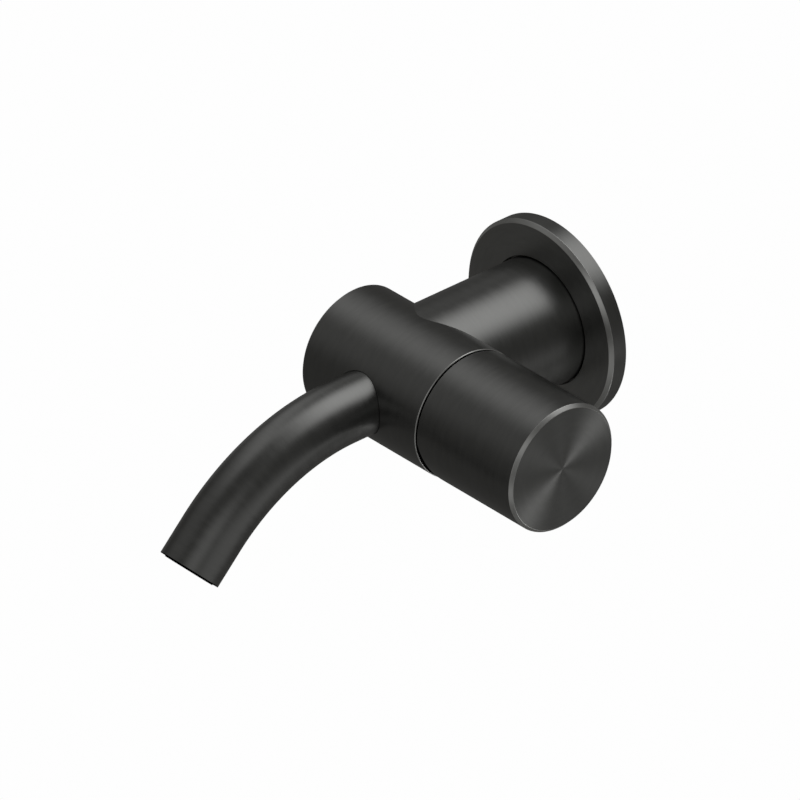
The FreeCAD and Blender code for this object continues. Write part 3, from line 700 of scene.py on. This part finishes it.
# %% Drill the body
spout_screw_radius = 1.55 * mm
inlet_room = 0.1 * mm
inlet_low, inlet_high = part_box("supply_manifold")
drill(body, spout_radius + spout_socket_gap, (0, spout_foot, 0), (0, -1, 0), body_radius)
drill(body, inlet_high.z + inlet_room, (0, 0, 0), (0, -1, 0), -inlet_low.y)
screw_low, screw_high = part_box("spout_grub_screw")
screw_place = Vector((0, (screw_low.y + screw_high.y) / 2, -spout_radius))
drill(body, spout_screw_radius, screw_place, (0, 0, -1), body_radius)
dress(body, "tap", "mixer_body")

# %% [markdown]
# ## Knob
#
# The knob is a turned cup whose closed end faces right. Its outer end dips to open the
# water, so the lower part of its rim is cut back to clear the body's mouth as it does. That
# cut leaves the dark wedge under the tap. The end face has a few rings of points, because a
# single fan of long triangles would shade unevenly.

# %% Turn the knob
knob_start, knob_end = knob_low.x, knob_high.x
knob_bore = knob_radius - knob_wall
knob_face = knob_radius - knob_chamfer
knob_soft_edge = 0.07 * mm
END_RING_SHARES = (0, 0.02, 0.1, 0.4, 0.7)
knob = turned([(knob_end, knob_face * share) for share in END_RING_SHARES] + [
    (knob_end, knob_face),
    (knob_end - knob_chamfer, knob_radius),
    (knob_start + mouth_chamfer, knob_radius),
    (knob_start, knob_radius - mouth_chamfer),
    (knob_start, knob_bore),
    (knob_end - knob_end_thickness, knob_bore),
    (knob_end - knob_end_thickness, 0),
])
soften(knob, knob_soft_edge)
map_brushing(knob, knob_radius)
sort_faces(knob)

# %% [markdown]
# The cut is a bisect: one plane divides the mesh, the part beyond it is dropped and the open
# rim is filled again. The plane's tilt and its place come from the joint that the knob turns
# on, so the wedge is always as wide as the movement needs.

# %% Cut the rim back
stop_gap = 0.25 * mm
tilt_joint = next(joint for joint in frame["joints"] if joint["name"] == "knob_tilt")
tilt = math.radians(tilt_joint["range_deg"][1])
pivot = Vector((tilt_joint["pos_m"][0], 0, 0))
cut_way = Vector((math.cos(tilt), 0, math.sin(tilt)))
geometry = knob.verts[:] + knob.edges[:] + knob.faces[:]
bmesh.ops.bisect_plane(knob, geom=geometry, plane_co=pivot + cut_way * stop_gap,
                       plane_no=-cut_way, clear_outer=True)
rim = [edge for edge in knob.edges if edge.is_boundary]
filled = bmesh.ops.holes_fill(knob, edges=rim, sides=0)
print("faces that close the cut:", len(filled["faces"]))
knob = new_object("knob_cup", knob, ALONG_BODY)

# %% [markdown]
# A small plastic plug on the underside hides the screw that clamps the knob to its lever.

# %% Drill the knob
plug_room = 0.05 * mm
plug_hole_length = 3 * knob_wall
plug_low, plug_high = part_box("knob_screw_plug")
plug_radius = (plug_high.x - plug_low.x) / 2 + plug_room
plug_place = Vector(((plug_low.x + plug_high.x) / 2, body_axis.y, knob_wall - knob_bore))
drill(knob, plug_radius, plug_place, (0, 0, -1), plug_hole_length)
dress(knob, "knob", "knob_shell")

# %% [markdown]
# ## Spout
#
# The spout is bent from round tube, and one ring of points draws all of it. Three moves are
# enough: extruding pushes the ring straight on, spin carries it round the bend, as a tube
# bender does, and widening takes it across the wall of the tube, to a larger or a smaller
# radius.

# %% Tools for the spout
BEND_STEPS = 64


def push(bm, ring, move, steps=1):
    """Extrudes a ring of edges and moves the new one. Returns the new ring."""
    for step in range(steps):
        made = bmesh.ops.extrude_edge_only(bm, edges=ring)["geom"]
        moved = [part for part in made if isinstance(part, bmesh.types.BMVert)]
        bmesh.ops.translate(bm, verts=moved, vec=move / steps)
        ring = [part for part in made if isinstance(part, bmesh.types.BMEdge)]
    return ring


def bend(bm, ring, angle):
    """Carries a ring round the bend, outwards or back."""
    spun = bmesh.ops.spin(bm, geom=ring, cent=(0, spout_bend_start, -spout_bend_radius),
                          axis=(1, 0, 0), dvec=(0, 0, 0), angle=angle, steps=BEND_STEPS)
    return [part for part in spun["geom_last"] if isinstance(part, bmesh.types.BMEdge)]


def widen(bm, ring, radius):
    """Extrudes a ring across the tube, to another distance from its middle."""
    ring = push(bm, ring, Vector())
    verts = list({vert for edge in ring for vert in edge.verts})
    middle = sum((vert.co for vert in verts), Vector()) / len(verts)
    for vert in verts:
        vert.co = middle + (vert.co - middle).normalized() * radius
    return ring


print(f"bend of the spout: {spout_bend_radius / mm:.0f} mm in {BEND_STEPS} steps")

# %% [markdown]
# The ring starts at the foot inside the body and runs along the outside. At the outlet it
# turns inwards and comes back along the bore, until it meets its own start and is merged
# with it. The rim of the outlet and the last bit of the outside are painted black: painted
# shade that gives the tube's end a thin dark edge.

# %% Make the spout
RING_STEPS = 128
STRAIGHT_STEPS = 4
SAME_POINT = 1e-6
FACING_OUT = Matrix.Rotation(math.pi / 2, 4, "X")
outlet_way = Vector((0, -math.cos(spout_bend_angle), -math.sin(spout_bend_angle)))
# The band at the outlet that is painted black as painted shade.
outlet_shade_band = 0.3 * mm
spout_soft_edge = 0.12 * mm
spout = bmesh.new()
straight = Vector((0, spout_bend_start - spout_foot, 0))
start = bmesh.ops.create_circle(spout, cap_ends=False, segments=RING_STEPS, radius=spout_radius,
                                matrix=Matrix.Translation((0, spout_foot, 0)) @ FACING_OUT)
ring = list({edge for vert in start["verts"] for edge in vert.link_edges})
ring = push(spout, ring, straight, STRAIGHT_STEPS)
ring = bend(spout, ring, spout_bend_angle)
ring = push(spout, ring, outlet_way * (spout_end_length - outlet_shade_band), STRAIGHT_STEPS)
ring = push(spout, ring, outlet_way * outlet_shade_band)
ring = widen(spout, ring, aerator_seat_radius)
ring = push(spout, ring, -outlet_way * aerator_seat_depth)
ring = widen(spout, ring, spout_radius - spout_wall)
ring = push(spout, ring, outlet_way * (aerator_seat_depth - spout_end_length))
ring = bend(spout, ring, -spout_bend_angle)
ring = push(spout, ring, -straight)
widen(spout, ring, spout_radius)
bmesh.ops.remove_doubles(spout, verts=spout.verts, dist=SAME_POINT)
bmesh.ops.recalc_face_normals(spout, faces=spout.faces)
print("open edges of the spout:", sum(edge.is_boundary for edge in spout.edges))
soften(spout, spout_soft_edge)
# Painted shade: the outlet's end and the last bit of the outside are painted black, as a thin dark edge.
shade_band_start = max(vert.co.dot(outlet_way) for vert in spout.verts) - outlet_shade_band
for face in spout.faces:
    if face.calc_center_median().dot(outlet_way) > shade_band_start:
        face.material_index = PAINTED_SHADE

# %% [markdown]
# The lathe's map doesn't follow a bend, so the spout gets one of its own. A point's place
# along the tube is worked out for the straight start, the bend and the straight end in turn,
# and its place round the tube is the angle about the tube's own middle line.

# %% Map the spout
bend_end = Vector((0, spout_bend_start - spout_bend_radius * math.sin(spout_bend_angle),
                   -spout_bend_radius * (1 - math.cos(spout_bend_angle))))
outlet_up = outlet_way.cross(Vector((-1, 0, 0)))


def along_spout(place):
    """How far along the spout a point lies, and its turn round the spout's own middle line."""
    if place.y > spout_bend_start:
        return -place.y, math.atan2(place.z, place.x)
    turn = math.atan2(spout_bend_start - place.y, place.z + spout_bend_radius)
    if turn < spout_bend_angle:
        from_centre = math.hypot(spout_bend_start - place.y, place.z + spout_bend_radius)
        along = spout_bend_radius * turn - spout_bend_start
        return along, math.atan2(from_centre - spout_bend_radius, place.x)
    offset = place - bend_end
    along = spout_bend_radius * spout_bend_angle - spout_bend_start + offset.dot(outlet_way)
    return along, math.atan2(offset.dot(outlet_up), place.x)


layer = spout.loops.layers.uv.new(UV_NAME)
for face in spout.faces:
    middle_turn = along_spout(face.calc_center_median())[1]
    for loop in face.loops:
        along, turn = along_spout(loop.vert.co)
        loop[layer].uv = (near_turn(turn, middle_turn) * spout_radius, along)
dress(new_object("spout_bent_tube", spout), "tap", "spout_tube")

# %% [markdown]
# ## Threads of the inlets
#
# From behind the wall one looks into two threaded inlets, where the hot and the cold hose
# are screwed in. A thread is a small ridge that is turned and moved on at the same time.
# Spin does both: dvec adds a little way along the axis at every step. The record's mounts
# say where the inlets are and how wide they are bored.

# %% Make the inlet threads
THREAD_STEPS = 48
thread_pitch = 1.0 * mm
thread_depth = 0.35 * mm
thread_root = 0.40 * mm
thread_crest = 0.08 * mm
thread_sink = 0.05 * mm
thread_turns = 9
thread_start = 0.8 * mm


def thread_ridge(bore):
    """A ridge that winds along +X on the wall of a bore, closed at both its ends."""
    bm = bmesh.new()
    profile = [(-thread_root, bore + thread_sink), (-thread_crest, bore - thread_depth),
               (thread_crest, bore - thread_depth), (thread_root, bore + thread_sink)]
    verts = [bm.verts.new((thread_start + along, 0, radius)) for along, radius in profile]
    edges = [bm.edges.new(pair) for pair in zip(verts, verts[1:] + verts[:1])]
    bmesh.ops.spin(bm, geom=verts + edges, cent=(0, 0, 0), axis=(1, 0, 0),
                   dvec=(thread_pitch / THREAD_STEPS, 0, 0), angle=FULL_TURN * thread_turns,
                   steps=THREAD_STEPS * thread_turns)
    ends = [edge for edge in bm.edges if edge.is_boundary]
    bmesh.ops.holes_fill(bm, edges=ends, sides=0)
    bmesh.ops.recalc_face_normals(bm, faces=bm.faces)
    return bm


for mount in frame["record"]["mounts"]:
    if mount["kind"] == "threaded_hole":
        place = Matrix.Translation(mount["pos_m"]) @ OUT_OF_WALL
        ridge = thread_ridge(mount["dims"]["r_mm"] * mm)
        dress(new_object(mount["name"] + "_thread", ridge, place, [brass_out]), "tap")

# %% [markdown]
# ## Camera
#
# The photograph was taken from the front right and above, with a lens so long that the far
# rosette looks hardly smaller than the near spout. The camera stands almost three metres
# away. Its sideways place is chosen so that one known point of the tap, on the neck's axis
# just before the body, falls on the pixel where the photograph has it.

# %% Place the camera
PICTURE_WIDTH = 800
AZIMUTH = math.radians(48.142)
ELEVATION = math.radians(31.400)
AIM = Vector((0, -0.060, 0))
AIM_PIXEL = (416.207, 377.187)
PIXELS_PER_METRE = 3100.0
DISTANCE = 2.960
SENSOR_WIDTH = 36
FARTHEST = 100


def direction(azimuth, elevation):
    """The way from the tap to something at these angles. Azimuth 0 is straight out of the wall."""
    level = math.cos(elevation)
    return Vector((math.sin(azimuth) * level, -math.cos(azimuth) * level, math.sin(elevation)))


back = direction(AZIMUTH, ELEVATION)
right = Vector((math.cos(AZIMUTH), math.sin(AZIMUTH), 0))
up = back.cross(right)
camera_data = bpy.data.cameras.new("camera")
camera_data.sensor_width = SENSOR_WIDTH
camera_data.lens = PIXELS_PER_METRE * DISTANCE * SENSOR_WIDTH / PICTURE_WIDTH
camera_data.clip_end = FARTHEST
camera = bpy.data.objects.new("camera", camera_data)
bpy.context.scene.collection.objects.link(camera)
to_right = (PICTURE_WIDTH / 2 - AIM_PIXEL[0]) / PIXELS_PER_METRE
to_top = (AIM_PIXEL[1] - PICTURE_WIDTH / 2) / PIXELS_PER_METRE
camera.location = AIM + back * DISTANCE + right * to_right + up * to_top
camera.rotation_euler = back.to_track_quat("Z", "Y").to_euler()
bpy.context.scene.camera = camera
print(f"lens {camera_data.lens:.1f} mm, camera at", [round(c, 3) for c in camera.location])

# %% [markdown]
# ## Light
#
# Dark metal shows no light of its own, only what it mirrors. So the light is a dim grey room
# with a few white panels, and each gleam on the tap is the picture of one of them: the big
# one behind and above gives the bright stripe along the neck, the one at the front right the
# soft band on the spout. Like the cloth of a real softbox, a panel is brightest inside and
# fades towards its rim. That is worked out from Parametric, which runs from 0 to 1 across an
# area light: the distance to the nearest edge is taken across and up, and both make the
# brightness. All the lights share this as a node group.

# %% The fade of a softbox
def make_softbox_fade():
    group, given, result = new_group(
        "softbox_fade", {"Place": None, "Fade across": 0.5, "Fade up": 0.5}, ("Brightness",))
    split = add(group, "ShaderNodeSeparateXYZ", {0: given.outputs["Place"]})
    fades = []
    for letter, width in (("X", "Fade across"), ("Y", "Fade up")):
        place = split.outputs[letter]
        other_edge = add(group, "ShaderNodeMath", {0: 1.0, 1: place}, operation="SUBTRACT")
        nearest = add(group, "ShaderNodeMath", {0: place, 1: other_edge.outputs[0]},
                      operation="MINIMUM")
        fade = add(group, "ShaderNodeMapRange",
                   {"Value": nearest.outputs[0], "From Min": 0.0, "From Max": given.outputs[width]},
                   interpolation_type="SMOOTHSTEP")
        fades.append(fade.outputs["Result"])
    both = add(group, "ShaderNodeMath", {0: fades[0], 1: fades[1]}, operation="MULTIPLY")
    group.links.new(both.outputs[0], result.inputs["Brightness"])
    return group


softbox_fade = make_softbox_fade()

# %% [markdown]
# A panel is given by the angles at which the tap sees it: where it hangs, as azimuth and
# elevation, then its width and height, measured where it has faded to a half. After them
# come its brightness, where 1 is as bright as the white of the picture, and its roll. An
# area light's power is spread over its area, so the power follows from size and brightness.

# %% Hang the panels
PANEL_DISTANCE = 2.5
FADE = 30


def panel(name, azimuth, elevation, width, height, brightness, roll):
    """A soft rectangular light. All its angles are in degrees."""
    way = direction(math.radians(azimuth), math.radians(elevation))
    data = bpy.data.lights.new(name, "AREA")
    data.shape = "RECTANGLE"
    data.size = 2 * PANEL_DISTANCE * math.tan(math.radians((width + FADE) / 2))
    data.size_y = 2 * PANEL_DISTANCE * math.tan(math.radians((height + FADE) / 2))
    data.energy = math.pi * data.size * data.size_y * brightness
    data.use_nodes = True
    tree = data.node_tree
    place = add(tree, "ShaderNodeNewGeometry").outputs["Parametric"]
    fade = add(tree, "ShaderNodeGroup",
               {"Place": place, "Fade across": FADE / (width + FADE), "Fade up": FADE / (height + FADE)},
               node_tree=softbox_fade)
    tree.links.new(fade.outputs["Brightness"], tree.nodes["Emission"].inputs["Color"])
    light = bpy.data.objects.new(name, data)
    light.location = AIM + way * PANEL_DISTANCE
    turn = way.to_track_quat("Z", "Y") @ Matrix.Rotation(math.radians(roll), 3, "Z").to_quaternion()
    light.rotation_euler = turn.to_euler()
    bpy.context.scene.collection.objects.link(light)
    return light


panels = [
    panel("panel_behind_above", 166, 59, 38, 46, 1.25, -67),
    panel("panel_front_right", 18, 11, 56, 27, 0.43, 44),
    panel("panel_right_above", 59, 28, 13, 28, 0.43, 26),
    panel("panel_front_low", 29, -37, 34, 10, 0.6, 44),
    panel("panel_front_left", -43, 33, 50, 34, 0.1, 24),
    panel("panel_left_above", -97, 52, 25, 62, 0.45, -33),
    panel("panel_left", -109, -7, 14, 13, 0.2, -45),
    panel("panel_behind_low", 163, -17, 16, 10, 1.4, -7),
    panel("panel_right", 99, -10, 58, 10, 0.45, -35),
    panel("panel_below", 109, -55, 18, 16, 2.8, 11),
]
print("panels:", [light.name for light in panels])

# %% [markdown]
# The room itself is the world. Rays from the camera see white in it, and all other rays a
# dark grey, so the backdrop is bright without lighting the metal.

# %% Paint the room
ROOM_GREY = (0.090, 0.089, 0.086, 1)
BACKDROP = (0.99, 0.99, 0.99, 1)
world = bpy.data.worlds.new("studio")
bpy.context.scene.world = world
world.use_nodes = True
tree = world.node_tree
tree.nodes.clear()
path = add(tree, "ShaderNodeLightPath")
seen = add(tree, "ShaderNodeBackground", {"Color": BACKDROP})
felt = add(tree, "ShaderNodeBackground", {"Color": ROOM_GREY})
both = add(tree, "ShaderNodeMixShader",
           {0: path.outputs["Is Camera Ray"], 1: felt.outputs[0], 2: seen.outputs[0]})
add(tree, "ShaderNodeOutputWorld", {"Surface": both.outputs[0]})
print("world:", world.name, "with", len(tree.nodes), "nodes")

# %% [markdown]
# The floor is a sheet of pale paper a metre below the tap. It is evenly lit, so it glows by
# itself, and it is see-through from below, so that the tap can be looked at from there too.

# %% Lay the floor
FLOOR_HEIGHT = -1.0
FLOOR_HALF_WIDTH = 12
floor = bmesh.new()
bmesh.ops.create_grid(floor, x_segments=1, y_segments=1, size=FLOOR_HALF_WIDTH)
bmesh.ops.translate(floor, verts=floor.verts, vec=(0, 0, FLOOR_HEIGHT))
paper = bpy.data.materials.new("pale_paper")
paper.use_nodes = True
tree = paper.node_tree
tree.nodes.clear()
glow = add(tree, "ShaderNodeEmission", {"Color": BACKDROP})
clear = add(tree, "ShaderNodeBsdfTransparent")
side = add(tree, "ShaderNodeNewGeometry")
sheet = add(tree, "ShaderNodeMixShader",
            {0: side.outputs["Backfacing"], 1: glow.outputs[0], 2: clear.outputs[0]})
add(tree, "ShaderNodeOutputMaterial", {"Surface": sheet.outputs[0]})
floor = new_object("floor", floor, finishes=[paper])
floor.visible_glossy = False
floor.visible_diffuse = False
floor.visible_shadow = False
floor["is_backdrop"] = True
bpy.context.scene.view_settings.view_transform = "Standard"
print(f"floor: {2 * FLOOR_HALF_WIDTH} m wide, at height {FLOOR_HEIGHT} m")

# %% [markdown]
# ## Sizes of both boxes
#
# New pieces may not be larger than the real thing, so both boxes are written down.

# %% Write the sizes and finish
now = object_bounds()
for title, box in (("CAD box", cad_box), ("visual box", now)):
    print(title, [[round(c / mm, 2) for c in corner] for corner in box])
